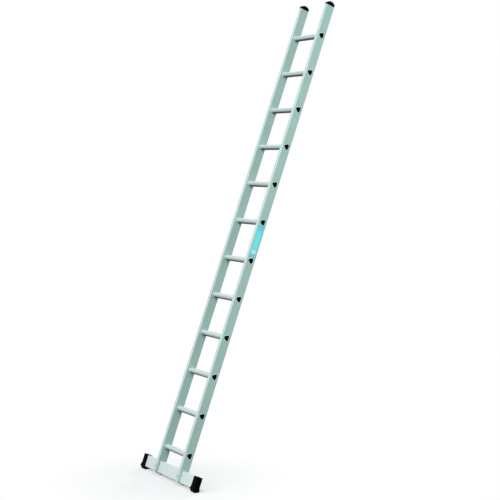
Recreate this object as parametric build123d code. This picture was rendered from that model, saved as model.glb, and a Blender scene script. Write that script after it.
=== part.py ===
from build123d import *
from math import atan2, cos, degrees, radians, sin
import os

# Whole ladder, in millimetres and degrees
RUNG_COUNT = 12
RUNG_PITCH = 280.0
LADDER_WIDTH = 350.0  # over the outer faces of both stiles
TOP_OVERHANG = 226.0  # top rung's axis to the upper end of a stile
LEAN = 20.5  # from upright, with both soles flat on the floor
FLOOR_GAP = 2.0  # under the lowest corners of the stiles

# Stile: a box section with a shallow recess along each side face
STILE_WIDTH = 27.0
STILE_DEPTH = 69.0
STILE_CORNER = 4.0
STILE_INNER_CORNER = 2.0
STILE_FLANGE = 2.4  # front and back walls
STILE_WEB = 1.5  # side walls, within the recess
STILE_EDGE_BAND = 9.5  # raised band along each edge of a side face
STILE_RECESS = 0.8
STILE_TOE = 4.0  # below the stabiliser bar

# Rung: a hollow shield with a grooved tread, full sides and a blunt nose. Drops are from the tread.
TREAD_WIDTH = 31.0
TREAD_RISE = 14.5  # above the rung's axis
SHOULDER_WIDTH = 39.6
SHOULDER_DROP = 7.0
BELLY_WIDTH = 34.6
BELLY_DROP = 20.5
NOSE_WIDTH = 8.0
NOSE_DROP = 37.7
RUNG_WALL = 1.6
RUNG_LEVEL_LEAN = 25.0  # the lean at which the treads are level
TREAD_GROOVES = 6
GROOVE_PITCH = 4.6
GROOVE_WIDTH = 2.0
GROOVE_DEPTH = 0.7
BEAD_RISE = 2.4  # upset bead against the inner face of a stile
BEAD_LENGTH = 3.2
FLARE_RISE = 2.4  # rolled flare against the outer face of a stile
FLARE_LENGTH = 1.8
FLARE_RUN_OUT = 0.5  # its slope runs on past the bore, for a sharp mouth
CRIMP_GAP = 0.1  # between a rung and the stile walls it is crimped to

# Rung plug: a stopper in the end of a rung, with a head that laps the mouth of the flare
PLUG_DEPTH = 6.0
PLUG_FIT = 0.15
PLUG_HEAD = 0.8
PLUG_LAP = 1.6  # of the head past the bore

# Stabiliser bar: a box section with two inner webs, through both stiles
BAR_DEPTH = 31.0
BAR_HEIGHT = 82.0
BAR_CORNER = 3.0
BAR_WALL = 2.0
BAR_CHAMBERS = 3
BAR_TOP_DROP = 108.0  # lowest rung's axis down to the top of the bar
BAR_FIT = 0.25  # round the bar, in the stiles and in the shoes

# Shoe: a rubber boot on each end of the bar, with a level sole
FOOT_SPREAD = 780.0  # over the outer ends of both shoes
SHOE_LENGTH = 54.0
SHOE_WALL = 3.5
SHOE_END = 4.0
SHOE_EDGE = 2.0
SHOE_CORNER = 3.0
SOLE_LENGTH = 37.0
SOLE_LEAD = 9.5  # the bar's axis stands this far behind the middle of the sole
TOE_REACH = 11.0  # the tip of the toe, in front of the sole
TOE_HEIGHT = 27.0
INSTEP_HEIGHT = 45.0
SOLE_GROOVES = 3
SOLE_GROOVE_WIDTH = 4.0
SOLE_GROOVE_DEPTH = 2.5
SOLE_BORDER = 6.0

# Top cap: a domed plug in the upper end of each stile
CAP_FRONT = 13.0
CAP_APEX = 30.0
CAP_BACK = 15.0
CAP_APEX_LEAD = 8.0  # the apex stands this far in front of the stile's middle
CAP_EDGE = 3.0
CAP_ROOF = 4.0
CAP_STEM = 30.0
CAP_WALL = 2.2
CAP_FIT = 0.25

# Hexagon bolt, two washers and lock nut through each stile and the bar
BOLT_DIAMETER = 8.0
BOLT_HOLE = 8.6
BOLT_TAIL = 2.5  # past the nut
HEX_ACROSS = 13.0
HEAD_HEIGHT = 5.3
NUT_HEIGHT = 8.0
NUT_BORE_GAP = 0.1
WASHER_DIAMETER = 16.0
WASHER_THICKNESS = 1.6

LEAN_SIN = sin(radians(LEAN))
LEAN_COS = cos(radians(LEAN))
BAR_DROP = BAR_TOP_DROP + BAR_HEIGHT / 2
BAR_FOOT = BAR_HEIGHT / 2 + STILE_TOE  # the bar's axis to the lower end of a stile
BAR_AXIS_HEIGHT = FLOOR_GAP + STILE_DEPTH / 2 * LEAN_SIN + BAR_FOOT * LEAN_COS
STILE_AXIS = (LADDER_WIDTH - STILE_WIDTH) / 2
STILE_TOP = (RUNG_COUNT - 1) * RUNG_PITCH + TOP_OVERHANG
STILE_END = -BAR_DROP - BAR_FOOT
CAVITY_WIDTH = STILE_WIDTH - 2 * (STILE_RECESS + STILE_WEB)
CAVITY_DEPTH = STILE_DEPTH - 2 * STILE_FLANGE
BEAD_SEAT = STILE_AXIS - STILE_WIDTH / 2 + STILE_RECESS - CRIMP_GAP
FLARE_SEAT = STILE_AXIS + STILE_WIDTH / 2 - STILE_RECESS + CRIMP_GAP
FLARE_MOUTH = FLARE_SEAT + FLARE_LENGTH

# The ladder is drawn upright, with the lowest rung's axis at the origin, the climbing side towards -Y
# and the stiles along Z. This stands it on the floor, with the middle of the soles at the origin.
STANDING = Pos(0, SOLE_LEAD + BAR_DROP * LEAN_SIN, BAR_AXIS_HEIGHT + BAR_DROP * LEAN_COS) * Rot(X=-LEAN)
ACROSS = Plane.YZ  # sections of what runs from side to side: depth, then height


def rung_section(grow=0.0):
    """Section about a rung's axis, at its tread's lean, or its even offset for a bore, hole or collar."""
    back = [
        (NOSE_WIDTH / 2, TREAD_RISE - NOSE_DROP),
        (BELLY_WIDTH / 2, TREAD_RISE - BELLY_DROP),
        (SHOULDER_WIDTH / 2, TREAD_RISE - SHOULDER_DROP),
        (TREAD_WIDTH / 2, TREAD_RISE),
    ]
    front = [(-depth, height) for depth, height in reversed(back)]
    section = Polygon(*back, *front, align=None)
    if grow:
        section = offset(section, grow, kind=Kind.INTERSECTION)
    return Rot(Z=RUNG_LEVEL_LEAN) * section


def tread_grooves():
    """Grooves along the tread, seen on a rung's section."""
    groove = Rectangle(GROOVE_WIDTH, 2 * GROOVE_DEPTH)
    row = [place * groove for place in GridLocations(GROOVE_PITCH, 0, TREAD_GROOVES, 1)]
    return Rot(Z=RUNG_LEVEL_LEAN) * Pos(0, TREAD_RISE) * Sketch(row)


def both_sides(shape):
    """A right-hand piece and its mirror image on the left."""
    return [shape, mirror(shape, about=Plane.YZ)]


def collar(seat, rise, length, narrowing, run_out=0.0):
    """Ring round a rung, with a given rise at its seat, that narrows evenly along its length."""
    plane = ACROSS.offset(seat)
    ring = extrude(plane * rung_section(rise), length + run_out)
    rim = ring.faces().filter_by(Axis.X, reverse=True)
    return draft(rim, plane, degrees(atan2(narrowing, length)))


def make_rung():
    """A tube through both stiles, upset to a bead inside and rolled to a flare outside each one."""
    tube = extrude(ACROSS * rung_section(), FLARE_SEAT, both=True)
    grooves = extrude(ACROSS * tread_grooves(), BEAD_SEAT - BEAD_LENGTH, both=True)
    left_bead = collar(-BEAD_SEAT, BEAD_RISE, BEAD_LENGTH, BEAD_RISE)
    right_flare = collar(FLARE_SEAT, FLARE_RISE, FLARE_LENGTH, FLARE_RISE + RUNG_WALL, FLARE_RUN_OUT)
    bore = extrude(ACROSS * rung_section(-RUNG_WALL), FLARE_MOUTH + FLARE_LENGTH, both=True)
    return tube + both_sides(left_bead) + both_sides(right_flare) - grooves - bore


def make_rung_plug():
    """Stopper in the right-hand mouth of a rung."""
    mouth = ACROSS.offset(FLARE_MOUTH)
    stem = extrude(mouth * rung_section(-RUNG_WALL - PLUG_FIT), -PLUG_DEPTH)
    return stem + extrude(mouth * rung_section(PLUG_LAP - RUNG_WALL), PLUG_HEAD)


def bar_section(grow=0.0):
    return RectangleRounded(BAR_DEPTH + 2 * grow, BAR_HEIGHT + 2 * grow, BAR_CORNER + grow)


def bolt_holes():
    """Holes from front to back for the bolts, in both stiles and in the bar."""
    hole = Rot(X=90) * Cylinder(BOLT_HOLE / 2, STILE_DEPTH + BAR_DEPTH)
    return both_sides(Pos(STILE_AXIS, 0, -BAR_DROP) * hole)


def make_stile():
    """Right-hand stile: holes for the rungs, a window for the bar and a hole for its bolt."""
    recess_width = STILE_DEPTH - 2 * STILE_EDGE_BAND
    recess = Rectangle(2 * STILE_RECESS, recess_width)
    section = RectangleRounded(STILE_WIDTH, STILE_DEPTH, STILE_CORNER)
    section -= [Pos(side * STILE_WIDTH / 2) * recess for side in (-1, 1)]
    section -= RectangleRounded(CAVITY_WIDTH, CAVITY_DEPTH, STILE_INNER_CORNER)
    stile = Pos(STILE_AXIS, 0, STILE_END) * extrude(section, STILE_TOP - STILE_END)
    rung_hole = extrude(ACROSS * rung_section(CRIMP_GAP), LADDER_WIDTH)
    window = Pos(0, 0, -BAR_DROP) * extrude(ACROSS * bar_section(BAR_FIT), LADDER_WIDTH)
    rung_holes = [Pos(0, 0, RUNG_PITCH * step) * rung_hole for step in range(RUNG_COUNT)]
    return stile - rung_holes - window - bolt_holes()


def make_bar():
    """Box extrusion, its two inner webs dividing it into chambers of equal height."""
    chamber_depth = BAR_DEPTH - 2 * BAR_WALL
    chamber_pitch = (BAR_HEIGHT - BAR_WALL) / BAR_CHAMBERS
    chamber = Rectangle(chamber_depth, chamber_pitch - BAR_WALL)
    stack = GridLocations(0, chamber_pitch, 1, BAR_CHAMBERS)
    section = bar_section() - [place * chamber for place in stack]
    half_length = FOOT_SPREAD / 2 - SHOE_END - BAR_FIT
    return Pos(0, 0, -BAR_DROP) * extrude(ACROSS * section, half_length, both=True) - bolt_holes()


def beside_bar(depth, along):
    """Place on the floor's side view of a point given from the bar's axis, square to the stile."""
    return (
        SOLE_LEAD + depth * LEAN_COS + along * LEAN_SIN,
        BAR_AXIS_HEIGHT - depth * LEAN_SIN + along * LEAN_COS,
    )


def make_shoe():
    """Right-hand boot, drawn as it stands: a leaning sleeve and a jutting toe over a level grooved sole."""
    sleeve = BAR_DEPTH / 2 + BAR_FIT + SHOE_WALL
    top = BAR_HEIGHT / 2 + BAR_FIT + SHOE_WALL
    toe = -SOLE_LENGTH / 2
    heel = SOLE_LENGTH / 2
    instep = (INSTEP_HEIGHT - BAR_AXIS_HEIGHT - sleeve * LEAN_SIN) / LEAN_COS
    ankle = (heel - SOLE_LEAD - sleeve * LEAN_COS) / LEAN_SIN
    outline = Polygon(
        (toe, 0),
        (heel, 0),
        beside_bar(sleeve, ankle),
        beside_bar(sleeve, top),
        beside_bar(-sleeve, top),
        beside_bar(-sleeve, instep),
        (toe - TOE_REACH, TOE_HEIGHT),
        align=None,
    )
    upper_corners = outline.vertices().filter_by(lambda corner: corner.Y > 0)
    outline = fillet(upper_corners, SHOE_CORNER)
    outer_end = FOOT_SPREAD / 2
    shoe = extrude(ACROSS.offset(outer_end - SHOE_LENGTH) * outline, SHOE_LENGTH)
    shoe = chamfer(shoe.faces().sort_by(Axis.X)[-1].edges(), SHOE_EDGE)
    socket = extrude(ACROSS.offset(outer_end - SHOE_LENGTH) * bar_section(BAR_FIT), SHOE_LENGTH - SHOE_END)
    shoe -= Pos(0, SOLE_LEAD, BAR_AXIS_HEIGHT) * Rot(X=-LEAN) * socket
    groove = Box(
        SHOE_LENGTH - 2 * SOLE_BORDER,
        SOLE_GROOVE_WIDTH,
        SOLE_GROOVE_DEPTH,
        align=(Align.CENTER, Align.CENTER, Align.MIN),
    )
    groove_pitch = (SOLE_LENGTH - 2 * SOLE_BORDER - SOLE_GROOVE_WIDTH) / (SOLE_GROOVES - 1)
    middle = Pos(outer_end - SHOE_LENGTH / 2, 0)
    return shoe - [middle * place * groove for place in GridLocations(0, groove_pitch, 1, SOLE_GROOVES)]


def make_top_cap():
    """Right-hand cap: an arched head with the stile's outline, over a hollow stem in its cavity."""
    front = -STILE_DEPTH / 2
    back = STILE_DEPTH / 2
    arch = ThreePointArc((front, CAP_FRONT), (-CAP_APEX_LEAD, CAP_APEX), (back, CAP_BACK))
    outline = make_face(arch + Polyline((back, CAP_BACK), (back, 0), (front, 0), (front, CAP_FRONT)))
    head = extrude(ACROSS * outline, STILE_WIDTH / 2, both=True)
    rims = head.edges().filter_by(lambda edge: edge.center().Z > 0 and abs(edge.center().X) > 0)
    head = chamfer(rims, CAP_EDGE)
    stem_width = CAVITY_WIDTH - 2 * CAP_FIT
    stem_depth = CAVITY_DEPTH - 2 * CAP_FIT
    stem = RectangleRounded(stem_width, stem_depth, STILE_INNER_CORNER)
    hollow = Rectangle(stem_width - 2 * CAP_WALL, stem_depth - 2 * CAP_WALL)
    cap = head + extrude(stem, -CAP_STEM)
    cap -= Pos(0, 0, -CAP_STEM) * extrude(hollow, CAP_STEM + CAP_FRONT - CAP_ROOF)
    return Pos(STILE_AXIS, 0, STILE_TOP) * cap


def hexagon(height):
    return extrude(RegularPolygon(HEX_ACROSS / 2, 6, major_radius=False), height)


def at_front(shape, gap=0.0):
    """A fastening that stands up from its seat, set on both bolts' axes in front of the stiles."""
    return both_sides(Pos(STILE_AXIS, -STILE_DEPTH / 2 - gap, -BAR_DROP) * Rot(X=90) * shape)


def at_back(shape, gap=0.0):
    """The same behind the stiles."""
    return both_sides(Pos(STILE_AXIS, STILE_DEPTH / 2 + gap, -BAR_DROP) * Rot(X=-90) * shape)


def make_bolts():
    """Bolts from the front, with their shanks through to the back."""
    shank = STILE_DEPTH + 2 * WASHER_THICKNESS + NUT_HEIGHT + BOLT_TAIL
    bolt = hexagon(HEAD_HEIGHT) + extrude(Circle(BOLT_DIAMETER / 2), -shank)
    return at_front(bolt, WASHER_THICKNESS)


def make_washers():
    washer = extrude(Circle(WASHER_DIAMETER / 2) - Circle(BOLT_HOLE / 2), WASHER_THICKNESS)
    return at_front(washer) + at_back(washer)


def make_nuts():
    """Lock nuts on the ends of the bolts, behind the stiles."""
    bore = Cylinder(BOLT_DIAMETER / 2 + NUT_BORE_GAP, 3 * NUT_HEIGHT)
    return at_back(hexagon(NUT_HEIGHT) - bore, WASHER_THICKNESS)


def all_nodes():
    """Every piece by its name, standing on the floor."""
    right_stile, left_stile = both_sides(make_stile())
    right_cap, left_cap = both_sides(make_top_cap())
    right_shoe, left_shoe = both_sides(make_shoe())
    right_plug, left_plug = both_sides(make_rung_plug())
    rung = make_rung()
    upright = {
        "left_stile": [left_stile],
        "right_stile": [right_stile],
        "left_top_cap": [left_cap],
        "right_top_cap": [right_cap],
        "stabiliser_bar": [make_bar()],
        "stabiliser_bolts": make_bolts(),
        "stabiliser_washers": make_washers(),
        "stabiliser_nuts": make_nuts(),
    }
    for step in range(RUNG_COUNT):
        height = Pos(0, 0, RUNG_PITCH * step)
        upright[f"rung_{step + 1:02d}"] = [height * rung]
        upright[f"left_rung_plug_{step + 1:02d}"] = [height * left_plug]
        upright[f"right_rung_plug_{step + 1:02d}"] = [height * right_plug]
    nodes = {name: [STANDING * piece for piece in pieces] for name, pieces in upright.items()}
    return nodes | {"left_shoe": [left_shoe], "right_shoe": [right_shoe]}


os.makedirs("parts", exist_ok=True)
for name, pieces in all_nodes().items():
    solids = [solid for piece in pieces for solid in piece.solids()]
    node = solids[0] if len(solids) == 1 else Compound(solids)
    export_step(node, f"parts/{name}.step")
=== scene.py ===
# %% [markdown]
# # A leaning rung ladder
# The real object is a single aluminium ladder: two long stiles, twelve hollow rungs, black
# plastic caps and plugs, and a wide stabiliser bar that stands on two rubber shoes. The exact
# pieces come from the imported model. This lesson gives them their finishes. Stiles and bar stay as
# they are, and the other pieces are made afresh on the same sizes, with softer edges than the
# model has.

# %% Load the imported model
from math import atan2, cos, hypot, pi, radians, sin, tan

import bmesh
import bpy
from mathutils import Matrix, Vector


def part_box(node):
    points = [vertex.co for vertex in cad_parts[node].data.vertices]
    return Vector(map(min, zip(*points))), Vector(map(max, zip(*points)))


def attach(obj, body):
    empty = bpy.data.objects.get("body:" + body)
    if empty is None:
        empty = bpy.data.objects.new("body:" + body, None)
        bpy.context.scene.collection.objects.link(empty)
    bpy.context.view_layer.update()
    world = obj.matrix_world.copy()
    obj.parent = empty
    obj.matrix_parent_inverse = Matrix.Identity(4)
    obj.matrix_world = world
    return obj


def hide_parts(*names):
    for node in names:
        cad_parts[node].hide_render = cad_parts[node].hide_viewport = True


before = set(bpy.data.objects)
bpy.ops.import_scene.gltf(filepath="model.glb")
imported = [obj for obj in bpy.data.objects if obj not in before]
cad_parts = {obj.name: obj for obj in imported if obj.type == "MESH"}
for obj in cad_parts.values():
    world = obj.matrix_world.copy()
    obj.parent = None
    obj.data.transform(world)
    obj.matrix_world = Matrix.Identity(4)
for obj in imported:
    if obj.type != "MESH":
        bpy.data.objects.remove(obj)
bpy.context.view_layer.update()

# %% [markdown]
# ## The ladder's own axes
# A leaning object is easier to draw upright. Two rung plugs, one low and one high, give the lean
# and the rung pitch, and one matrix then stands anything drawn upright in its real place.
# Upright, x runs across, depth runs away from the climber and height runs up the stiles from the
# lowest rung's axis, all in millimetres.

# %% Measure the lean and the pitch
MM = 0.001
SIDES = {"left": -1, "right": 1}
BAR_DROP = 149.0  # lowest rung's axis down to the axis of the stabiliser bar


def middle_of(node):
    low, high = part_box(node)
    return (low + high) / 2


rungs = sorted(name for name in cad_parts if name.startswith("rung_"))
top_rung = len(rungs) - 1
climb = middle_of(f"right_rung_plug_{top_rung + 1:02d}") - middle_of("right_rung_plug_01")
lean = atan2(climb.y, climb.z)
rung_pitch = climb.length / top_rung / MM
first_axis = middle_of("stabiliser_bar") / MM + BAR_DROP * Vector((0, sin(lean), cos(lean)))
standing = Matrix.Scale(MM, 4) @ Matrix.Translation(first_axis) @ Matrix.Rotation(-lean, 4, "X")
print(f"lean {lean / pi * 180:.2f} degrees, rung pitch {rung_pitch:.1f} mm")

# %% [markdown]
# ## Colours and nodes
# Colours are picked on a screen, so they are written as sRGB hex values, and one function turns
# them into the linear values that shaders work with. One more function adds a node, sets it up
# and links it, and a small one writes the four ends of a change of range.

# %% Helpers for materials
NOISE_RANGE = (0.3, 0.7)  # most values of a noise texture lie between these


def linear(hex_colour):
    """An sRGB hex colour as linear red, green, blue and alpha."""
    shares = [int(hex_colour[i : i + 2], 16) / 255 for i in (1, 3, 5)]
    return [c / 12.92 if c <= 0.04045 else ((c + 0.055) / 1.055) ** 2.4 for c in shares] + [1.0]


def add(tree, kind, settings=None, links=None):
    """A new node: settings name its properties or sockets, links name the sockets that other nodes feed."""
    node = tree.nodes.new(kind)
    for name, value in (settings or {}).items():
        if hasattr(node, str(name)):
            setattr(node, name, value)
        else:
            node.inputs[name].default_value = value
    for name, source in (links or {}).items():
        tree.links.new(source, node.inputs[name])
    return node


def ranges(source, target=(0.0, 1.0)):
    """Settings of a node that maps one range of values to another."""
    return dict(zip(("From Min", "From Max", "To Min", "To Max"), source + target))


def new_material(name):
    """An empty material with its node tree and its surface shader."""
    material = bpy.data.materials.new(name)
    material.use_nodes = True
    return material, material.node_tree, material.node_tree.nodes["Principled BSDF"]


print("a pale aluminium in linear values:", [round(c, 3) for c in linear("#B9CEC9")])

# %% [markdown]
# ## Extruded aluminium
# Stiles, rungs and bar are pushed hot through a steel die and left as they come: mill finish. The
# die draws fine lines along the length, and the thin oxide that forms in air makes the metal
# satin and a little uneven. Noise that is stretched along the piece gives the lines, and broad
# noise gives the clouds of oxide. The colour has the cool green cast of the photographed metal.
# Narrow front faces carry a painted highlight and the undersides of rungs and bar a painted shade, so a
# face takes its tone from the way that it faces. The left stile carries a painted shade all over, a little
# darker than the right.

# %% Mill-finish aluminium
DIE_LINE_WIDTH = 2.2  # real ones are near 0.5 mm, too fine to show
DIE_LINE_LENGTH = 900.0
DIE_LINE_BUMP, DIE_LINE_DEPTH = 0.25, 0.05  # strength of the relief, and its depth in mm
OXIDE_CLOUD = 160.0
OXIDE_SHARE = 0.12
SATIN_ROUGHNESS = (0.48, 0.62)
STILE_TONES = ("#B0C7C3", "#C4D6D2")
LEFT_SHADED_TONES = ("#A7BDB9", "#BACCC8")  # the left stile, with a painted shade that makes it a little darker than the right
FRONT_HIGHLIGHT_TONES = ("#C3D2D3", "#D4E0E1")  # painted highlight on the stiles' narrow front faces
CROSS_TONES = ("#CDD9DB", "#DFE7E9")
UNDERSIDE_SHADE_TONES = ("#2E3737", "#3C4646")  # painted shade on the undersides of rungs and bar
BAR_TONES = ("#D4DBE0", "#E5EAED")
LIP_TONES = ("#E4EEED", "#F2F7F6")  # rubbed bright by the tool that rolls the rung ends over
FRONT_HIGHLIGHT_TURN = (0.5, 0.9)  # where the painted highlight starts and is full, as cosines of a face's turn
# where the painted shade on the undersides starts and is full, as cosines of a face's turn
RUNG_SHADE_TURN = (0.48, 0.68)
BAR_SHADE_TURN = (0.05, 0.45)


def mill_finish_aluminium(name, line_size, tones, painted_tones=None, painted_side=None, turn=None):
    """Satin bare metal, with its die lines along the longest of three line sizes, in the ladder's own axes.
    Faces that turn to the painted side take the painted tones, a painted highlight or a painted shade."""
    material, tree, metal = new_material(name)
    coordinates = add(tree, "ShaderNodeTexCoord").outputs
    place = coordinates["Object"]
    along = {"vector_type": "TEXTURE", "Rotation": (-lean, 0, 0)}
    along["Scale"] = [size * MM for size in line_size]
    stretched = add(tree, "ShaderNodeMapping", along, {"Vector": place})
    lines = add(tree, "ShaderNodeTexNoise", {"Scale": 1.0, "Detail": 3.0}, {"Vector": stretched.outputs[0]})
    clouds = add(tree, "ShaderNodeTexNoise", {"Scale": 1 / (OXIDE_CLOUD * MM)}, {"Vector": place})
    streaked = {"Color1": linear(tones[0]), "Color2": linear(tones[1])}
    tone = add(tree, "ShaderNodeMixRGB", streaked, {"Fac": lines.outputs["Fac"]})
    # painted highlight or painted shade on faces that turn to one side
    if painted_tones:
        facing = add(tree, "ShaderNodeVectorMath", {"operation": "DOT_PRODUCT", 1: painted_side})
        tree.links.new(coordinates["Normal"], facing.inputs[0])
        turned = ranges(turn) | {"interpolation_type": "SMOOTHSTEP"}
        share = add(tree, "ShaderNodeMapRange", turned, {"Value": facing.outputs["Value"]})
        streaked = {"Color1": linear(painted_tones[0]), "Color2": linear(painted_tones[1])}
        other = add(tree, "ShaderNodeMixRGB", streaked, {"Fac": lines.outputs["Fac"]})
        both = {"Fac": share.outputs[0], "Color1": tone.outputs[0], "Color2": other.outputs[0]}
        tone = add(tree, "ShaderNodeMixRGB", None, both)
    patchy = {"blend_type": "OVERLAY", "Fac": OXIDE_SHARE}
    both = {"Color1": tone.outputs[0], "Color2": clouds.outputs["Fac"]}
    cloudy = add(tree, "ShaderNodeMixRGB", patchy, both)
    satin = ranges(NOISE_RANGE, SATIN_ROUGHNESS)
    gloss = add(tree, "ShaderNodeMapRange", satin, {"Value": lines.outputs["Fac"]})
    relief = {"Strength": DIE_LINE_BUMP, "Distance": DIE_LINE_DEPTH * MM}
    bump = add(tree, "ShaderNodeBump", relief, {"Height": lines.outputs["Fac"]})
    metal.inputs["Metallic"].default_value = 0.15  # most of the light scatters in the oxide
    tree.links.new(cloudy.outputs[0], metal.inputs["Base Color"])
    tree.links.new(gloss.outputs[0], metal.inputs["Roughness"])
    tree.links.new(bump.outputs[0], metal.inputs["Normal"])
    return material


UP_THE_STILE = (DIE_LINE_WIDTH, DIE_LINE_WIDTH, DIE_LINE_LENGTH)
FROM_SIDE_TO_SIDE = (DIE_LINE_LENGTH, DIE_LINE_WIDTH, DIE_LINE_WIDTH)
STRAIGHT_DOWN = (0, 0, -1)
climbing_side = (0, -cos(lean), sin(lean))
down_the_stile = (0, -sin(lean), -cos(lean))
# the left stile's tones hold a painted shade
stile_tones = {"left": LEFT_SHADED_TONES, "right": STILE_TONES}
# painted shade darkens the undersides of rungs and bar
cross_aluminium = mill_finish_aluminium(
    "mill_finish_aluminium_rung", FROM_SIDE_TO_SIDE, CROSS_TONES, UNDERSIDE_SHADE_TONES, STRAIGHT_DOWN, RUNG_SHADE_TURN
)
bar_aluminium = mill_finish_aluminium(
    "mill_finish_aluminium_bar", FROM_SIDE_TO_SIDE, BAR_TONES, UNDERSIDE_SHADE_TONES, down_the_stile, BAR_SHADE_TURN
)
burnished_lip = mill_finish_aluminium("burnished_aluminium_lip", FROM_SIDE_TO_SIDE, LIP_TONES)
for name in SIDES:
    finish = f"mill_finish_aluminium_{name}_stile"
    # painted highlight on the narrow front faces
    stile_aluminium = mill_finish_aluminium(
        finish, UP_THE_STILE, stile_tones[name], FRONT_HIGHLIGHT_TONES, climbing_side, FRONT_HIGHLIGHT_TURN
    )
    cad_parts[f"{name}_stile"].material_slots[0].material = stile_aluminium
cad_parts["stabiliser_bar"].material_slots[0].material = bar_aluminium
print("aluminium:", stile_aluminium.name, cross_aluminium.name, bar_aluminium.name)

# %% [markdown]
# ## Black polypropylene
# Caps and plugs are moulded in a steel tool whose faces were spark-eroded, which leaves an even
# fine grain. The grain scatters the light, so the plastic is a soft black with broad, dim
# highlights.

# %% Moulded polypropylene
SPARK_GRAIN = 0.9  # the real grain is near 0.2 mm, too fine to show
SPARK_BUMP, SPARK_DEPTH = 0.3, 0.08
PLASTIC_ROUGHNESS = (0.42, 0.58)


def moulded_polypropylene():
    material, tree, plastic = new_material("moulded_polypropylene_black")
    place = add(tree, "ShaderNodeTexCoord").outputs["Object"]
    fine = {"Scale": 1 / (SPARK_GRAIN * MM), "Detail": 2.0}
    grain = add(tree, "ShaderNodeTexNoise", fine, {"Vector": place})
    shades = {"Color1": linear("#010202"), "Color2": linear("#060707")}
    tone = add(tree, "ShaderNodeMixRGB", shades, {"Fac": grain.outputs["Fac"]})
    dull = ranges(NOISE_RANGE, PLASTIC_ROUGHNESS)
    gloss = add(tree, "ShaderNodeMapRange", dull, {"Value": grain.outputs["Fac"]})
    relief = {"Strength": SPARK_BUMP, "Distance": SPARK_DEPTH * MM}
    bump = add(tree, "ShaderNodeBump", relief, {"Height": grain.outputs["Fac"]})
    plastic.inputs["IOR"].default_value = 1.49
    plastic.inputs["Specular IOR Level"].default_value = 0.025
    tree.links.new(tone.outputs[0], plastic.inputs["Base Color"])
    tree.links.new(gloss.outputs[0], plastic.inputs["Roughness"])
    tree.links.new(bump.outputs[0], plastic.inputs["Normal"])
    return material


black_polypropylene = moulded_polypropylene()
print("plastic:", black_polypropylene.name)

# %% [markdown]
# ## Black rubber
# The shoes are moulded rubber, matte and slightly grainy. Dust from the floor clings to the last
# few millimetres above the sole, so the black turns a little grey there.

# %% Moulded rubber
RUBBER_GRAIN = 1.6
RUBBER_BUMP, RUBBER_DEPTH = 0.35, 0.12
DUST_HEIGHT = 22.0
DUST_SHARE = 0.35  # at the sole


def moulded_rubber():
    material, tree, rubber = new_material("moulded_rubber_black")
    place = add(tree, "ShaderNodeTexCoord").outputs["Object"]
    fine = {"Scale": 1 / (RUBBER_GRAIN * MM), "Detail": 3.0}
    grain = add(tree, "ShaderNodeTexNoise", fine, {"Vector": place})
    height = add(tree, "ShaderNodeSeparateXYZ", None, {"Vector": place}).outputs["Z"]
    low_down = ranges((DUST_HEIGHT * MM, 0.0), (0.0, DUST_SHARE))
    near_floor = add(tree, "ShaderNodeMapRange", low_down, {"Value": height}).outputs[0]
    clinging = add(tree, "ShaderNodeMath", {"operation": "MULTIPLY"})
    tree.links.new(near_floor, clinging.inputs[0])
    tree.links.new(grain.outputs["Fac"], clinging.inputs[1])
    shades = {"Color1": linear("#020404"), "Color2": linear("#171817")}
    tone = add(tree, "ShaderNodeMixRGB", shades, {"Fac": clinging.outputs[0]})
    relief = {"Strength": RUBBER_BUMP, "Distance": RUBBER_DEPTH * MM}
    bump = add(tree, "ShaderNodeBump", relief, {"Height": grain.outputs["Fac"]})
    rubber.inputs["IOR"].default_value = 1.52
    rubber.inputs["Specular IOR Level"].default_value = 0.02
    rubber.inputs["Roughness"].default_value = 0.62
    tree.links.new(tone.outputs[0], rubber.inputs["Base Color"])
    tree.links.new(bump.outputs[0], rubber.inputs["Normal"])
    return material


black_rubber = moulded_rubber()
print("rubber:", black_rubber.name)

# %% [markdown]
# ## Zinc-plated steel
# Bolts, washers and nuts are steel with a thin bright coat of zinc. Its crystals give a faint
# mottle, a few millimetres across, from bluish to warm grey.

# %% Zinc-plated steel
ZINC_MOTTLE = 3.0
ZINC_ROUGHNESS = (0.24, 0.4)


def zinc_plated_steel():
    material, tree, steel = new_material("zinc_plated_steel")
    place = add(tree, "ShaderNodeTexCoord").outputs["Object"]
    fine = {"Scale": 1 / (ZINC_MOTTLE * MM), "Detail": 2.0}
    mottle = add(tree, "ShaderNodeTexNoise", fine, {"Vector": place})
    shades = {"Color1": linear("#A6B2B8"), "Color2": linear("#BFC9CA")}
    tone = add(tree, "ShaderNodeMixRGB", shades, {"Fac": mottle.outputs["Fac"]})
    bright = ranges(NOISE_RANGE, ZINC_ROUGHNESS)
    gloss = add(tree, "ShaderNodeMapRange", bright, {"Value": mottle.outputs["Fac"]})
    steel.inputs["Metallic"].default_value = 1.0
    tree.links.new(tone.outputs[0], steel.inputs["Base Color"])
    tree.links.new(gloss.outputs[0], steel.inputs["Roughness"])
    return material


bright_zinc = zinc_plated_steel()
print("steel:", bright_zinc.name)

# %% [markdown]
# ## Skins from rings
# Rungs, plugs, caps and fastenings are all stacks of outlines: each outline is a ring of points,
# and quads join each ring to the next. A stack that closes on itself is a tube with a wall, and
# an open one gets a face at each end. Points that fall together are welded. Smooth shading with
# sharp edges above a set angle keeps flats flat and curves round.

# %% Loft rings and make pieces
SHARP_ANGLE = radians(38)
WELD = 0.005  # mm; points closer than this become one


def loft(rings, closed=False):
    """Points and faces of the skin through rings of equal count."""
    count = len(rings[0])
    points = [point for ring in rings for point in ring]
    faces = []
    for a in range(len(rings) if closed else len(rings) - 1):
        b = (a + 1) % len(rings)
        for i in range(count):
            j = (i + 1) % count
            faces.append((a * count + i, a * count + j, b * count + j, b * count + i))
    if not closed:
        faces.append(tuple(range(count))[::-1])
        faces.append(tuple(range(len(points) - count, len(points))))
    return points, faces


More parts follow.
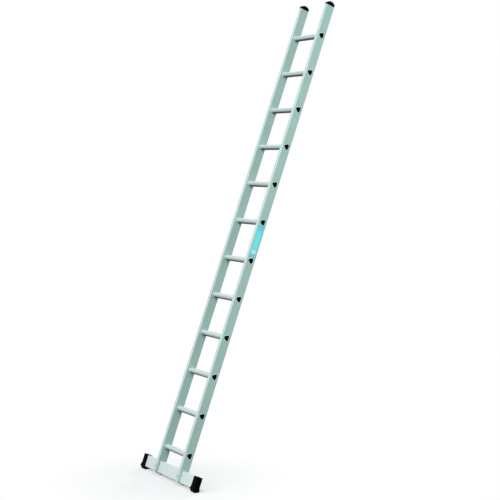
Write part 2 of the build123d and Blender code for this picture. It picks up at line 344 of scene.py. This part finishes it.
def make_piece(name, skin, place, material):
    """A new object from a skin in millimetres, set in place, finished and riding with the ladder."""
    points, faces = skin
    mesh = bpy.data.meshes.new(name)
    mesh.from_pydata([place @ Vector(point) for point in points], [], faces)
    shape = bmesh.new()
    shape.from_mesh(mesh)
    bmesh.ops.remove_doubles(shape, verts=shape.verts, dist=WELD * MM)
    bmesh.ops.recalc_face_normals(shape, faces=shape.faces)
    shape.to_mesh(mesh)
    shape.free()
    mesh.shade_smooth()
    mesh.set_sharp_from_angle(angle=SHARP_ANGLE)
    mesh.materials.append(material)
    piece = bpy.data.objects.new(name, mesh)
    bpy.context.scene.collection.objects.link(piece)
    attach(piece, "root")
    return piece


triangles = [[(0, 0, height), (1, 0, height), (0, 1, height)] for height in (0, 1)]
print("loft of two triangles:", len(loft(triangles)[1]), "faces")

# %% [markdown]
# ## Rungs
# Each rung is a hollow shield with a grooved tread, full sides and a blunt nose, pushed through
# both stiles and then crimped: the press upsets a bead against the inner face and rolls the end
# over into a flare outside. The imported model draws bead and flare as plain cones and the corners
# as flats. Here the same outline gets rounded corners, a rounded bead and a rolled lip, which
# catch the light as formed metal does.

# %% The rung's outline
TREAD_WIDTH = 31.0
TREAD_RISE = 14.5
SHOULDER_WIDTH, SHOULDER_DROP = 39.6, 7.0  # drops are from the tread
BELLY_WIDTH, BELLY_DROP = 34.6, 20.5
NOSE_WIDTH, NOSE_DROP = 8.0, 37.7
TREAD_ROUND, SHOULDER_ROUND, BELLY_ROUND, NOSE_ROUND = 6.0, 9.0, 36.0, 7.0
RUNG_TURN = radians(25)  # the lean at which the treads are level
CORNER_STEPS = 5


def rung_corners():
    """Corners of the section with their roundings, from the tread's back corner clockwise."""
    back = [
        (TREAD_WIDTH / 2, TREAD_RISE, TREAD_ROUND),
        (SHOULDER_WIDTH / 2, TREAD_RISE - SHOULDER_DROP, SHOULDER_ROUND),
        (BELLY_WIDTH / 2, TREAD_RISE - BELLY_DROP, BELLY_ROUND),
        (NOSE_WIDTH / 2, TREAD_RISE - NOSE_DROP, NOSE_ROUND),
    ]
    return back + [(-depth, height, radius) for depth, height, radius in reversed(back)]


def rung_outline(grow):
    """Points round the section, grown evenly, with an arc at each corner."""
    corners = rung_corners()
    points = []
    for i, (depth, height, radius) in enumerate(corners):
        corner = Vector((depth, height))
        before = (Vector(corners[i - 1][:2]) - corner).normalized()
        after = (Vector(corners[(i + 1) % len(corners)][:2]) - corner).normalized()
        half_angle = before.angle(after) / 2
        inward = (before + after).normalized()
        centre = corner + inward * radius / sin(half_angle)
        angles = [(pi - 2 * half_angle) * (0.5 - step / CORNER_STEPS) for step in range(CORNER_STEPS + 1)]
        points += [centre + Matrix.Rotation(angle, 2) @ -inward * (radius + grow) for angle in angles]
    return points


print("rung outline:", len(rung_outline(0.0)), "points")

# %% [markdown]
# The tread's grooves are more points on the outline's top edge. Each groove has two shoulders and
# two floor corners, and a ring beyond the end of the grooves has the same points with no depth.

# %% Rings along a rung
TREAD_GROOVES = 6
GROOVE_PITCH = 4.6
GROOVE_WIDTH = 2.0
GROOVE_SLANT = 0.25
GROOVE_DEPTH = 0.7


def groove_points(depth, rise):
    """Points of all grooves from left to right along the top edge."""
    points = []
    for i in range(TREAD_GROOVES):
        middle = (i - (TREAD_GROOVES - 1) / 2) * GROOVE_PITCH
        half_floor = GROOVE_WIDTH / 2 - GROOVE_SLANT
        points.append(Vector((middle - GROOVE_WIDTH / 2, rise)))
        points.append(Vector((middle - half_floor, rise - depth)))
        points.append(Vector((middle + half_floor, rise - depth)))
        points.append(Vector((middle + GROOVE_WIDTH / 2, rise)))
    return points


def rung_ring(x, grow, groove_depth=0.0):
    """One ring of a rung's skin, turned to the tread's lean."""
    outline = rung_outline(grow) + groove_points(groove_depth, TREAD_RISE + grow)
    turned = [Matrix.Rotation(RUNG_TURN, 2) @ point for point in outline]
    return [(x, point.x, point.y) for point in turned]


print("one ring of a rung:", len(rung_ring(0.0, 0.0, GROOVE_DEPTH)), "points")

# %% [markdown]
# The rings follow a path from the middle of the rung outwards, over the bead, through the stile,
# round the lip and back along the bore. The other half is its mirror image, so the whole path
# closes on itself.

# %% Make the rungs
BEAD_SEAT = 148.7
BEAD_LENGTH = 3.2
BEAD_RISE = 2.4
FLARE_SEAT = 174.3
FLARE_LENGTH = 1.8
FLARE_RISE = 2.4
RUNG_WALL = 1.6
ROLL_STEPS = 6


def half_path():
    """Place across, growth and groove depth of each ring on the right-hand half of a rung."""
    bead_start = BEAD_SEAT - BEAD_LENGTH
    path = [(bead_start, 0.0, GROOVE_DEPTH), (bead_start, 0.0)]
    for step in range(1, ROLL_STEPS + 1):
        angle = pi / 2 * step / ROLL_STEPS
        path.append((BEAD_SEAT - BEAD_LENGTH * cos(angle), BEAD_RISE * sin(angle)))
    path += [(BEAD_SEAT, 0.0), (FLARE_SEAT, 0.0)]
    lip = (FLARE_RISE + RUNG_WALL) / 2
    for step in range(2 * ROLL_STEPS + 1):
        angle = pi / 2 * step / ROLL_STEPS
        path.append((FLARE_SEAT + FLARE_LENGTH * sin(angle), FLARE_RISE - lip + lip * cos(angle)))
    return path


def rung_skin():
    right = half_path()
    left = [(-x, *rest) for x, *rest in reversed(right)]
    return loft([rung_ring(*stop) for stop in right + left], closed=True)


def up_the_ladder(step):
    return standing @ Matrix.Translation((0, 0, rung_pitch * step))


skin = rung_skin()
for step, node in enumerate(rungs):
    rung = make_piece(f"{node}_formed", skin, up_the_ladder(step), cross_aluminium)
    rung.data.materials.append(burnished_lip)
    for face in rung.data.polygons:
        if abs(face.center.x) > FLARE_SEAT * MM:
            face.material_index = 1
    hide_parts(node)
print("rungs:", len(rungs), "of", len(skin[1]), "faces")

# %% [markdown]
# ## Rung plugs
# A black stopper closes each rung end. Its stem is a little smaller than the bore, and its head
# laps the rolled lip, with a rounded rim and a shallow dish in its face, so that the moulding
# shrinks evenly.

# %% Make the rung plugs
PLUG_DEPTH = 6.0
PLUG_FIT = 0.15
PLUG_HEAD = 0.8
PLUG_DISH = ((0.80, 0.0), (0.73, 0.4), (0.15, 0.4))  # shares of the rim's size, with their depths


def plug_skin(side):
    """Right-hand plug for side 1, left-hand plug for side -1."""
    mouth = FLARE_SEAT + FLARE_LENGTH
    stem = -RUNG_WALL - PLUG_FIT
    rings = [rung_ring(side * (mouth - PLUG_DEPTH), stem), rung_ring(side * mouth, stem)]
    for step in range(ROLL_STEPS + 1):
        angle = pi / 2 * step / ROLL_STEPS
        rings.append(rung_ring(side * (mouth + PLUG_HEAD * sin(angle)), PLUG_HEAD * (cos(angle) - 1)))
    rim = rings[-1]
    for share, drop in PLUG_DISH:
        x = side * (mouth + PLUG_HEAD - drop)
        rings.append([(x, depth * share, height * share) for _, depth, height in rim])
    return loft(rings)


for name, side in SIDES.items():
    skin = plug_skin(side)
    for step in range(len(rungs)):
        node = f"{name}_rung_plug_{step + 1:02d}"
        place = up_the_ladder(step)
        plug = make_piece(f"{node}_moulded", skin, place, black_polypropylene)
        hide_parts(node)
print("plugs:", len(SIDES) * len(rungs), "of", len(skin[1]), "faces")

# %% [markdown]
# ## Top caps
# A domed cap closes the upper end of each stile. Seen from the side its top is one arch, highest
# a little in front of the middle, and its rim is well rounded all the way about. Rings of the
# stile's own outline, drawn in step by step and lifted to the arch, give that shape. Rounding a
# block would leave a crease at the corners.

# %% The cap's rings
STILE_WIDTH = 27.0
STILE_DEPTH = 69.0
STILE_CORNER = 4.0
CAP_FRONT, CAP_APEX, CAP_BACK = 13.0, 30.0, 15.0
CAP_APEX_LEAD = 8.0
CAP_ROUND = 4.5
CAP_SHARPEST = 0.5  # least corner radius of a ring that is drawn in
CAP_INSETS = (7.0, 8.5, 10.0, 11.5, 12.6)
CAP_RIDGE = 0.97  # length of the ridge line as a share of the last inset's
SIDE_POINTS = (4, 14)  # along a short and a long side of the outline


def arch_centre(first, second, third):
    """Centre of the circle through three points."""
    (ax, ay), (bx, by), (cx, cy) = first, second, third
    a, b, c = ax * ax + ay * ay, bx * bx + by * by, cx * cx + cy * cy
    twice = 2 * (ax * (by - cy) + bx * (cy - ay) + cx * (ay - by))
    across = a * (by - cy) + b * (cy - ay) + c * (ay - by)
    up = a * (cx - bx) + b * (ax - cx) + c * (bx - ax)
    return across / twice, up / twice


front_edge, apex = (-STILE_DEPTH / 2, CAP_FRONT), (-CAP_APEX_LEAD, CAP_APEX)
arch_x, arch_y = arch_centre(front_edge, apex, (STILE_DEPTH / 2, CAP_BACK))
arch_radius = hypot(apex[0] - arch_x, apex[1] - arch_y)


def arch_height(depth):
    return arch_y + (arch_radius**2 - (depth - arch_x) ** 2) ** 0.5


def cap_outline(inset):
    """The stile's rounded outline, drawn in evenly, with extra points along its sides."""
    radius = max(STILE_CORNER - inset, CAP_SHARPEST)
    arcs = []
    for quarter, (across, away) in enumerate(((1, 1), (-1, 1), (-1, -1), (1, -1))):
        x = across * (STILE_WIDTH / 2 - inset - radius)
        y = away * (STILE_DEPTH / 2 - inset - radius)
        angles = [pi / 2 * (quarter + step / CORNER_STEPS) for step in range(CORNER_STEPS + 1)]
        arcs.append([Vector((x + radius * cos(angle), y + radius * sin(angle))) for angle in angles])
    points = []
    for quarter, arc in enumerate(arcs):
        start, end = arc[-1], arcs[(quarter + 1) % 4][0]
        count = SIDE_POINTS[quarter % 2]
        points += arc + [start.lerp(end, (i + 1) / (count + 1)) for i in range(count)]
    return points


print(f"cap arch: radius {arch_radius:.1f} mm, outline of {len(cap_outline(0.0))} points")

# %% [markdown]
# The rim rolls over by a quarter circle. Further in, the rings follow the arch, and the last one
# closes to a ridge line along the top, because one face across an arched ring wouldn't be flat.
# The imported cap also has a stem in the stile. It never shows, so it is left off.

# %% Make the top caps
STILE_AXIS = 161.5
TOP_OVERHANG = 226.0
stile_top = rung_pitch * top_rung + TOP_OVERHANG


def cap_skin():
    rings = [[(point.x, point.y, 0.0) for point in cap_outline(0.0)]]
    for step in range(ROLL_STEPS + 1):
        angle = pi / 2 * step / ROLL_STEPS
        sunk = CAP_ROUND * (1 - sin(angle))
        outline = cap_outline(CAP_ROUND * (1 - cos(angle)))
        rings.append([(point.x, point.y, arch_height(point.y) - sunk) for point in outline])
    for inset in CAP_INSETS:
        rings.append([(point.x, point.y, arch_height(point.y)) for point in cap_outline(inset)])
    ridge = [CAP_RIDGE * depth for _, depth, _ in rings[-1]]
    rings.append([(0.0, depth, arch_height(depth)) for depth in ridge])
    points, faces = loft(rings)
    return points, faces[:-1]  # the last ring closes to a ridge line, which needs no face


for name, side in SIDES.items():
    place = standing @ Matrix.Translation((side * STILE_AXIS, 0, stile_top))
    cap = make_piece(f"{name}_top_cap_moulded", cap_skin(), place, black_polypropylene)
    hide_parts(f"{name}_top_cap")
    print(cap.name, "top at", round(max(vertex.co.z for vertex in cap.data.vertices), 3), "m")

# %% [markdown]
# ## Rubber shoes
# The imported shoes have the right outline, socket and grooved sole, but their edges are crisp, and
# moulded rubber never is. A copy of each one gets all its sharp edges rolled by a bevel, which
# keeps the fit to the bar.

# %% Round the shoes
RUBBER_EDGE = 1.6
SAME_POINT = 0.001  # mm, between the corners of two packed triangles that meet
FLAT_ANGLE = radians(1)
CREASE_ANGLE = radians(28)
BEVEL_STEPS = 3
ROUND_PROFILE = 0.5


def softened_copy(node):
    """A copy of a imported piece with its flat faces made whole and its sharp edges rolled."""
    shape = bmesh.new()
    shape.from_mesh(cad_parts[node].data)
    bmesh.ops.remove_doubles(shape, verts=shape.verts, dist=SAME_POINT * MM)
    bmesh.ops.dissolve_limit(shape, angle_limit=FLAT_ANGLE, verts=shape.verts, edges=shape.edges)
    creases = [edge for edge in shape.edges if edge.is_manifold and edge.calc_face_angle() > CREASE_ANGLE]
    rolled = {"offset": RUBBER_EDGE * MM, "segments": BEVEL_STEPS, "profile": ROUND_PROFILE}
    bmesh.ops.bevel(shape, geom=creases, affect="EDGES", clamp_overlap=True, **rolled)
    points = [tuple(vertex.co) for vertex in shape.verts]
    faces = [tuple(vertex.index for vertex in face.verts) for face in shape.faces]
    shape.free()
    return points, faces


for name in SIDES:
    skin = softened_copy(f"{name}_shoe")
    shoe = make_piece(f"{name}_shoe_moulded", skin, Matrix.Identity(4), black_rubber)
    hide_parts(f"{name}_shoe")
    print(shoe.name, len(shoe.data.polygons), "faces")

# %% [markdown]
# ## Bolts, washers and nuts
# One bolt holds the bar in each stile. Real heads and nuts have their corners turned off at 30
# degrees, a lock nut has a round collar for its nylon ring, and a thread shows on the bolt's
# tail. All are turned shapes, so each is a loft of rings about the bolt's axis whose radius
# changes with the angle: a hexagon, a circle or a thread.

# %% Rings about a bolt's axis
BOLT_RADIUS = 4.0
HEX_HALF = 6.5
FLAT_RADIUS = 0.95 * HEX_HALF  # of the flat end, within the turned-off corners
CORNER_CUT = radians(30)
TURN_POINTS = 48
THREAD_PITCH = 1.25
THREAD_DEPTH = 0.6


def hexagon(angle):
    return HEX_HALF / cos((angle + pi / 6) % (pi / 3) - pi / 6)


def cut_back(angle):
    """How far the turned-off corner lies below the flat end of a head or nut."""
    return max(0.0, hexagon(angle) - FLAT_RADIUS) * tan(CORNER_CUT)


def turned_ring(radius, height):
    """Radius and height are values, or functions of the angle."""
    ring = []
    for i in range(TURN_POINTS):
        angle = 2 * pi * i / TURN_POINTS
        r = radius(angle) if callable(radius) else radius
        z = height(angle) if callable(height) else height
        ring.append((r * cos(angle), r * sin(angle), z))
    return ring


def thread_ring(height):
    """A ring on the thread, whose radius falls and rises once a pitch and turns with the angle."""

    def radius(angle):
        wave = (height / THREAD_PITCH - angle / (2 * pi)) % 1
        return BOLT_RADIUS - THREAD_DEPTH * (1 - abs(2 * wave - 1))

    return turned_ring(radius, height)


print("hexagon corner", round(hexagon(pi / 6), 2), "mm, turned off by", round(cut_back(pi / 6), 2), "mm")

# %% [markdown]
# The bolt is one skin, from the thread on its tail to the flat of its head. The nut and the
# washer are rings that close on themselves, and the washer's edges are broken. Hidden lengths of
# the bolt have few rings.

# %% The three fastenings
WASHER = 1.6
WASHER_RADIUS = 8.0
WASHER_BORE = 4.3
HEAD_HEIGHT = 5.3
NUT_HEIGHT = 8.0
NUT_HEX = 5.6
NUT_FIT = 0.1
COLLAR_RADIUS = 5.7
COLLAR_ROUND = 1.0
BOLT_TAIL = 2.5
HEAD_CENTRE = 1.0  # a small ring that keeps the shading of the head's end flat
THREAD_LENGTH = 14.0
THREAD_STEP = THREAD_PITCH / 8
EDGE_BREAK = 0.25


def bolt_skin():
    """A bolt with its head above height 0 and its threaded tail below."""
    tail = -(STILE_DEPTH + 2 * WASHER + NUT_HEIGHT + BOLT_TAIL)
    rows = int(THREAD_LENGTH / THREAD_STEP)
    rings = [turned_ring(BOLT_RADIUS - THREAD_DEPTH, tail)]
    rings += [thread_ring(tail + THREAD_STEP * (row + 1)) for row in range(rows)]
    rings += [turned_ring(BOLT_RADIUS, tail + THREAD_LENGTH + THREAD_PITCH), turned_ring(BOLT_RADIUS, 0.0)]
    rings += [turned_ring(hexagon, 0.0), turned_ring(hexagon, lambda angle: HEAD_HEIGHT - cut_back(angle))]
    rings += [turned_ring(FLAT_RADIUS, HEAD_HEIGHT), turned_ring(HEAD_CENTRE, HEAD_HEIGHT)]
    return loft(rings)


def nut_skin():
    """A lock nut: a hexagon with a round collar on top."""
    bore = BOLT_RADIUS + NUT_FIT
    eased = 0.3 * COLLAR_ROUND  # the middle of the collar's rounding, in from both of its faces
    rings = [turned_ring(bore, 0.0), turned_ring(FLAT_RADIUS, 0.0), turned_ring(hexagon, cut_back)]
    rings += [turned_ring(hexagon, lambda angle: NUT_HEX - cut_back(angle))]
    rings += [turned_ring(FLAT_RADIUS, NUT_HEX)]
    rings += [turned_ring(COLLAR_RADIUS, NUT_HEX), turned_ring(COLLAR_RADIUS, NUT_HEIGHT - COLLAR_ROUND)]
    rings += [turned_ring(COLLAR_RADIUS - eased, NUT_HEIGHT - eased)]
    rings += [turned_ring(COLLAR_RADIUS - COLLAR_ROUND, NUT_HEIGHT), turned_ring(bore, NUT_HEIGHT)]
    return loft(rings, closed=True)


def washer_skin():
    rings = [turned_ring(WASHER_BORE, 0.0), turned_ring(WASHER_RADIUS - EDGE_BREAK, 0.0)]
    rings += [turned_ring(WASHER_RADIUS, EDGE_BREAK), turned_ring(WASHER_RADIUS, WASHER - EDGE_BREAK)]
    rings += [turned_ring(WASHER_RADIUS - EDGE_BREAK, WASHER), turned_ring(WASHER_BORE, WASHER)]
    return loft(rings, closed=True)


print("bolt:", len(bolt_skin()[1]), "faces, nut:", len(nut_skin()[1]), "faces")

# %% [markdown]
# Each bolt goes through a stile and the bar from front to back, with a washer under its head and
# another under its nut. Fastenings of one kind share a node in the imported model, so their skins
# are gathered into one piece.

# %% Set the fastenings in their seats


def gathered(skins):
    """Several skins, each with the place that it takes, as one."""
    points, faces = [], []
    for (more_points, more_faces), place in skins:
        faces += [tuple(index + len(points) for index in face) for face in more_faces]
        points += [place @ Vector(point) for point in more_points]
    return points, faces


def seats(facing, gap):
    """Places on both bolts' axes, on the front of the stiles for facing 1 or the back for facing -1."""
    turn = Matrix.Rotation(facing * pi / 2, 4, "X")
    away = -facing * (STILE_DEPTH / 2 + gap)
    return [Matrix.Translation((side * STILE_AXIS, away, -BAR_DROP)) @ turn for side in SIDES.values()]


fastenings = {
    "stabiliser_bolts": [(bolt_skin(), seat) for seat in seats(1, WASHER)],
    "stabiliser_washers": [(washer_skin(), seat) for seat in seats(1, 0.0) + seats(-1, 0.0)],
    "stabiliser_nuts": [(nut_skin(), seat) for seat in seats(-1, WASHER)],
}
for node, skins in fastenings.items():
    piece = make_piece(f"{node}_turned", gathered(skins), standing, bright_zinc)
    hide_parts(node)
    print(piece.name, len(skins))

# %% [markdown]
# ## The label
# A plain blue sticker lies in the shallow recess of the right-hand stile, between two rungs. It
# is printed film: light in the middle and deeper towards both ends, under a satin varnish. It
# carries no words, only a blank pale panel near its lower end. The inks mix by the distance from
# the label's middle, so no picture is needed.

# %% Printed film
LABEL_LOW, LABEL_HIGH = 1426.0, 1655.0
LABEL_HALF_WIDTH = 24.0
LABEL_CORNER = 5.0
LABEL_THICKNESS = 0.25
RECESS_FACE = 174.2
PRINT_FLECK = 14.0
PRINT_UNEVEN = 0.06
DEEPER_ALONG, DEEPER_ACROSS = (0.3, 0.95), (0.55, 1.1)  # where the ink deepens, as shares of half a side
PANEL_MIDDLE = -0.69  # of the blank panel, as a share of half the length
PANEL_ENDS, PANEL_SIDES = (0.10, 0.13), (0.66, 0.74)  # from its middle, as such shares
label_middle = Vector((RECESS_FACE, 0, (LABEL_LOW + LABEL_HIGH) / 2))
label_half_length = (LABEL_HIGH - LABEL_LOW) / 2


def beyond(tree, value, start, end):
    """0 where a value is within the start distance from 0, rising softly to 1 at the end distance."""
    away = add(tree, "ShaderNodeMath", {"operation": "ABSOLUTE"}, {0: value}).outputs[0]
    rise = ranges((start, end)) | {"interpolation_type": "SMOOTHSTEP"}
    return add(tree, "ShaderNodeMapRange", rise, {"Value": away}).outputs[0]


def printed_film():
    material, tree, film = new_material("printed_vinyl_film_blue")
    place = add(tree, "ShaderNodeTexCoord").outputs["Object"]
    on_label = {"vector_type": "TEXTURE", "Location": standing @ label_middle, "Rotation": (-lean, 0, 0)}
    on_label["Scale"] = (MM, LABEL_HALF_WIDTH * MM, label_half_length * MM)
    local = add(tree, "ShaderNodeMapping", on_label, {"Vector": place})
    spread = add(tree, "ShaderNodeSeparateXYZ", None, {"Vector": local.outputs[0]}).outputs
    ends = {0: beyond(tree, spread["Z"], *DEEPER_ALONG), 1: beyond(tree, spread["Y"], *DEEPER_ACROSS)}
    depth = add(tree, "ShaderNodeMath", {"operation": "MAXIMUM"}, ends)
    inks = {"Color1": linear("#6EFFFF"), "Color2": linear("#50D6FF")}
    tone = add(tree, "ShaderNodeMixRGB", inks, {"Fac": depth.outputs[0]})
    lifted = add(tree, "ShaderNodeMath", {"operation": "SUBTRACT", 1: PANEL_MIDDLE}, {0: spread["Z"]})
    edges = {0: beyond(tree, lifted.outputs[0], *PANEL_ENDS), 1: beyond(tree, spread["Y"], *PANEL_SIDES)}
    outside = add(tree, "ShaderNodeMath", {"operation": "MAXIMUM"}, edges)
    blank = add(tree, "ShaderNodeMixRGB", {"Color1": linear("#F2FFFF")}, {"Fac": outside.outputs[0]})
    tree.links.new(tone.outputs[0], blank.inputs["Color2"])
    fleck = add(tree, "ShaderNodeTexNoise", {"Scale": 1 / (PRINT_FLECK * MM)}, {"Vector": place})
    uneven = {"blend_type": "OVERLAY", "Fac": PRINT_UNEVEN}
    both = {"Color1": blank.outputs[0], "Color2": fleck.outputs["Fac"]}
    print_tone = add(tree, "ShaderNodeMixRGB", uneven, both)
    film.inputs["Roughness"].default_value = 0.38
    film.inputs["IOR"].default_value = 1.5
    film.inputs["Specular IOR Level"].default_value = 1.0
    film.inputs["Coat Weight"].default_value = 1.0
    film.inputs["Coat Roughness"].default_value = 0.25
    tree.links.new(print_tone.outputs[0], film.inputs["Base Color"])
    return material


label_film = printed_film()
print("film:", label_film.name)

# %% [markdown]
# The film is a thin sheet on the floor of the recess, with round corners, because square ones
# peel. Its outer edge is drawn in a little, so that a line of light shows along it.

# %% Make the label
LABEL_EDGE = 0.15


def label_ring(x, inset):
    """The label's outline in the face of the stile, with round corners."""
    ring = []
    for quarter, (away, up) in enumerate(((1, 1), (-1, 1), (-1, -1), (1, -1))):
        depth = away * (LABEL_HALF_WIDTH - LABEL_CORNER)
        height = up * (label_half_length - LABEL_CORNER)
        for step in range(CORNER_STEPS + 1):
            angle = pi / 2 * (quarter + step / CORNER_STEPS)
            radius = LABEL_CORNER - inset
            ring.append((x, depth + radius * cos(angle), height + radius * sin(angle)))
    return ring


sheet = [label_ring(0.0, 0.0), label_ring(LABEL_THICKNESS / 2, 0.0)]
sheet.append(label_ring(LABEL_THICKNESS, LABEL_EDGE))
on_stile = standing @ Matrix.Translation(label_middle)
label = make_piece("right_stile_label", loft(sheet), on_stile, label_film)
print(label.name, f"{2 * LABEL_HALF_WIDTH:.0f} x {2 * label_half_length:.0f} mm")

# %% [markdown]
# ## Floor, light and camera
# The ladder stands in a white studio. The floor and the surroundings show plain white to the
# camera and in reflections. Near the foot the floor lets half of its own light and shade through,
# and in the gap under the bar all of it, so the contact shadows stay.

# %% White floor and surroundings
FLOOR_HALF = 40.0  # metres
FLOOR_DROP = 0.3  # mm below the soles, so that the two faces don't fight
FLOOR_SHADE = 0.5  # share of the paint's own light and shade that the camera sees near the soles
SHADE_REACH = (0.15, 0.95)  # from full shade to plain white, in metres from the foot
GAP_MIDDLE = Vector((0, 0.035, 0))  # under and behind the bar, where the paint's own shade shows in full
GAP_REACH = (0.018, 0.045)  # metres before and behind that middle
GAP_ENDS = (0.34, 0.42)  # metres to either side
WORLD_LIGHT = 0.42


def seen_directly(tree):
    """1 for the camera and for mirror-like or see-through rays, 0 for light that falls on the object."""
    path = add(tree, "ShaderNodeLightPath")
    either = add(tree, "ShaderNodeMath", {"operation": "MAXIMUM"})
    tree.links.new(path.outputs["Is Camera Ray"], either.inputs[0])
    tree.links.new(path.outputs["Is Glossy Ray"], either.inputs[1])
    shown = add(tree, "ShaderNodeMath", {"operation": "MAXIMUM"})
    tree.links.new(either.outputs[0], shown.inputs[0])
    tree.links.new(path.outputs["Is Transmission Ray"], shown.inputs[1])
    return shown.outputs[0]


def studio_floor():
    material, tree, paint = new_material("matte_white_floor_paint")
    paint.inputs["Roughness"].default_value = 0.9
    paint.inputs["Specular IOR Level"].default_value = 0.0
    seen = seen_directly(tree)
    paints = {"Color1": linear("#6A6E6E"), "Color2": linear("#FFF6FA")}  # for bounced light, and as seen
    tone = add(tree, "ShaderNodeMixRGB", paints, {"Fac": seen})
    tree.links.new(tone.outputs[0], paint.inputs["Base Color"])
    place = add(tree, "ShaderNodeTexCoord").outputs["Object"]
    away = add(tree, "ShaderNodeVectorMath", {"operation": "LENGTH"}, {0: place}).outputs["Value"]
    fade = ranges(SHADE_REACH, (1 - FLOOR_SHADE, 1.0)) | {"interpolation_type": "SMOOTHSTEP"}
    white = add(tree, "ShaderNodeMapRange", fade, {"Value": away}).outputs[0]
    in_gap = {"vector_type": "TEXTURE", "Location": GAP_MIDDLE}
    from_gap = add(tree, "ShaderNodeMapping", in_gap, {"Vector": place}).outputs[0]
    spread = add(tree, "ShaderNodeSeparateXYZ", None, {"Vector": from_gap}).outputs
    past = {0: beyond(tree, spread["X"], *GAP_ENDS), 1: beyond(tree, spread["Y"], *GAP_REACH)}
    outside = add(tree, "ShaderNodeMath", {"operation": "MAXIMUM"}, past).outputs[0]
    lit = add(tree, "ShaderNodeMath", {"operation": "MULTIPLY"}, {0: white, 1: outside}).outputs[0]
    share = add(tree, "ShaderNodeMath", {"operation": "MULTIPLY"}, {0: seen, 1: lit})
    glow = add(tree, "ShaderNodeEmission", {"Color": linear("#FFFFFF"), "Strength": 1.0})
    mixed = {"Fac": share.outputs[0], 1: paint.outputs[0], 2: glow.outputs[0]}
    surface = add(tree, "ShaderNodeMixShader", None, mixed)
    tree.links.new(surface.outputs[0], tree.nodes["Material Output"].inputs["Surface"])
    material.cycles.emission_sampling = "NONE"  # what is seen directly is no lamp
    return material


square = ((-1, -1), (1, -1), (1, 1), (-1, 1))
corners = [(x * FLOOR_HALF, y * FLOOR_HALF, -FLOOR_DROP * MM) for x, y in square]
floor_mesh = bpy.data.meshes.new("studio_floor")
floor_mesh.from_pydata(corners, [], [(0, 1, 2, 3)])
floor_mesh.materials.append(studio_floor())
floor = bpy.data.objects.new("studio_floor", floor_mesh)
bpy.context.scene.collection.objects.link(floor)

world = bpy.data.worlds.new("white_studio")
world.use_nodes = True
bpy.context.scene.world = world
world.cycles.sampling_method = "NONE"
sky = world.node_tree
shown = seen_directly(sky)
strength = add(sky, "ShaderNodeMapRange", ranges((0.0, 1.0), (WORLD_LIGHT, 1.0)), {"Value": shown})
tints = {"Color1": linear("#D6F4EC"), "Color2": linear("#FFFFFF")}
tint = add(sky, "ShaderNodeMixRGB", tints, {"Fac": shown})
sky.links.new(tint.outputs[0], sky.nodes["Background"].inputs["Color"])
sky.links.new(strength.outputs[0], sky.nodes["Background"].inputs["Strength"])
print("floor and surroundings are white")

# %% [markdown]
# A broad key light from the front brightens treads and narrow faces. A softbox at the front right
# keeps the outer sides cool and even, and one behind the ladder lights its back. All are wide, so
# the shadows stay soft.

# %% Lamps
KEY_FROM = Vector((-0.20, -0.86, 0.47))
KEY_DISTANCE = 8.0
KEY_STRENGTH = 1.4
KEY_SPREAD = radians(35)
KEY_TINT = "#FFF6F4"
LADDER_MIDDLE = (0, 0.8, 2.4)
SOFTBOXES = {  # place, power in watts, width in metres and tint
    "fill_softbox": ((5.2, -1.5, 4.6), 225.0, 2.0, "#E5FDF9"),
    "back_softbox": ((-3.0, 6.4, 3.6), 210.0, 3.0, "#FFFFFF"),
}


def look_at(thing, place, target):
    thing.location = place
    thing.rotation_euler = (Vector(target) - Vector(place)).to_track_quat("-Z", "Y").to_euler()


lamp = bpy.data.lights.new("key_light", "SUN")
lamp.energy = KEY_STRENGTH
lamp.angle = KEY_SPREAD
lamp.color = linear(KEY_TINT)[:3]
key = bpy.data.objects.new("key_light", lamp)
bpy.context.scene.collection.objects.link(key)
look_at(key, KEY_FROM * KEY_DISTANCE, (0, 0, 0))
for name, (place, power, width, tint) in SOFTBOXES.items():
    lamp = bpy.data.lights.new(name, "AREA")
    lamp.shape = "DISK"
    lamp.size = width
    lamp.energy = power
    lamp.color = linear(tint)[:3]
    softbox = bpy.data.objects.new(name, lamp)
    bpy.context.scene.collection.objects.link(softbox)
    look_at(softbox, place, LADDER_MIDDLE)
print("key light", KEY_STRENGTH, "and", len(SOFTBOXES), "softboxes")

# %% [markdown]
# The photo looks slightly down at the ladder from the front right, from about 8 m away with a
# long lens, so the stiles stay nearly parallel. Place, direction and lens come from a fit to
# points that show in the photo.

# %% Camera
CAMERA_PLACE = Vector((7.352, -3.9065, 2.2467))
CAMERA_AZIMUTH = radians(58.19)
CAMERA_DOWN = radians(4.51)
CAMERA_LENS = 88.16
ahead = Vector((-sin(CAMERA_AZIMUTH), cos(CAMERA_AZIMUTH), -tan(CAMERA_DOWN)))
camera_data = bpy.data.cameras.new("camera")
camera_data.lens = CAMERA_LENS
camera = bpy.data.objects.new("camera", camera_data)
bpy.context.scene.collection.objects.link(camera)
look_at(camera, CAMERA_PLACE, CAMERA_PLACE + ahead)
bpy.context.scene.camera = camera
bpy.context.scene.view_settings.view_transform = "Standard"
print("camera at", [round(value, 2) for value in camera.location])
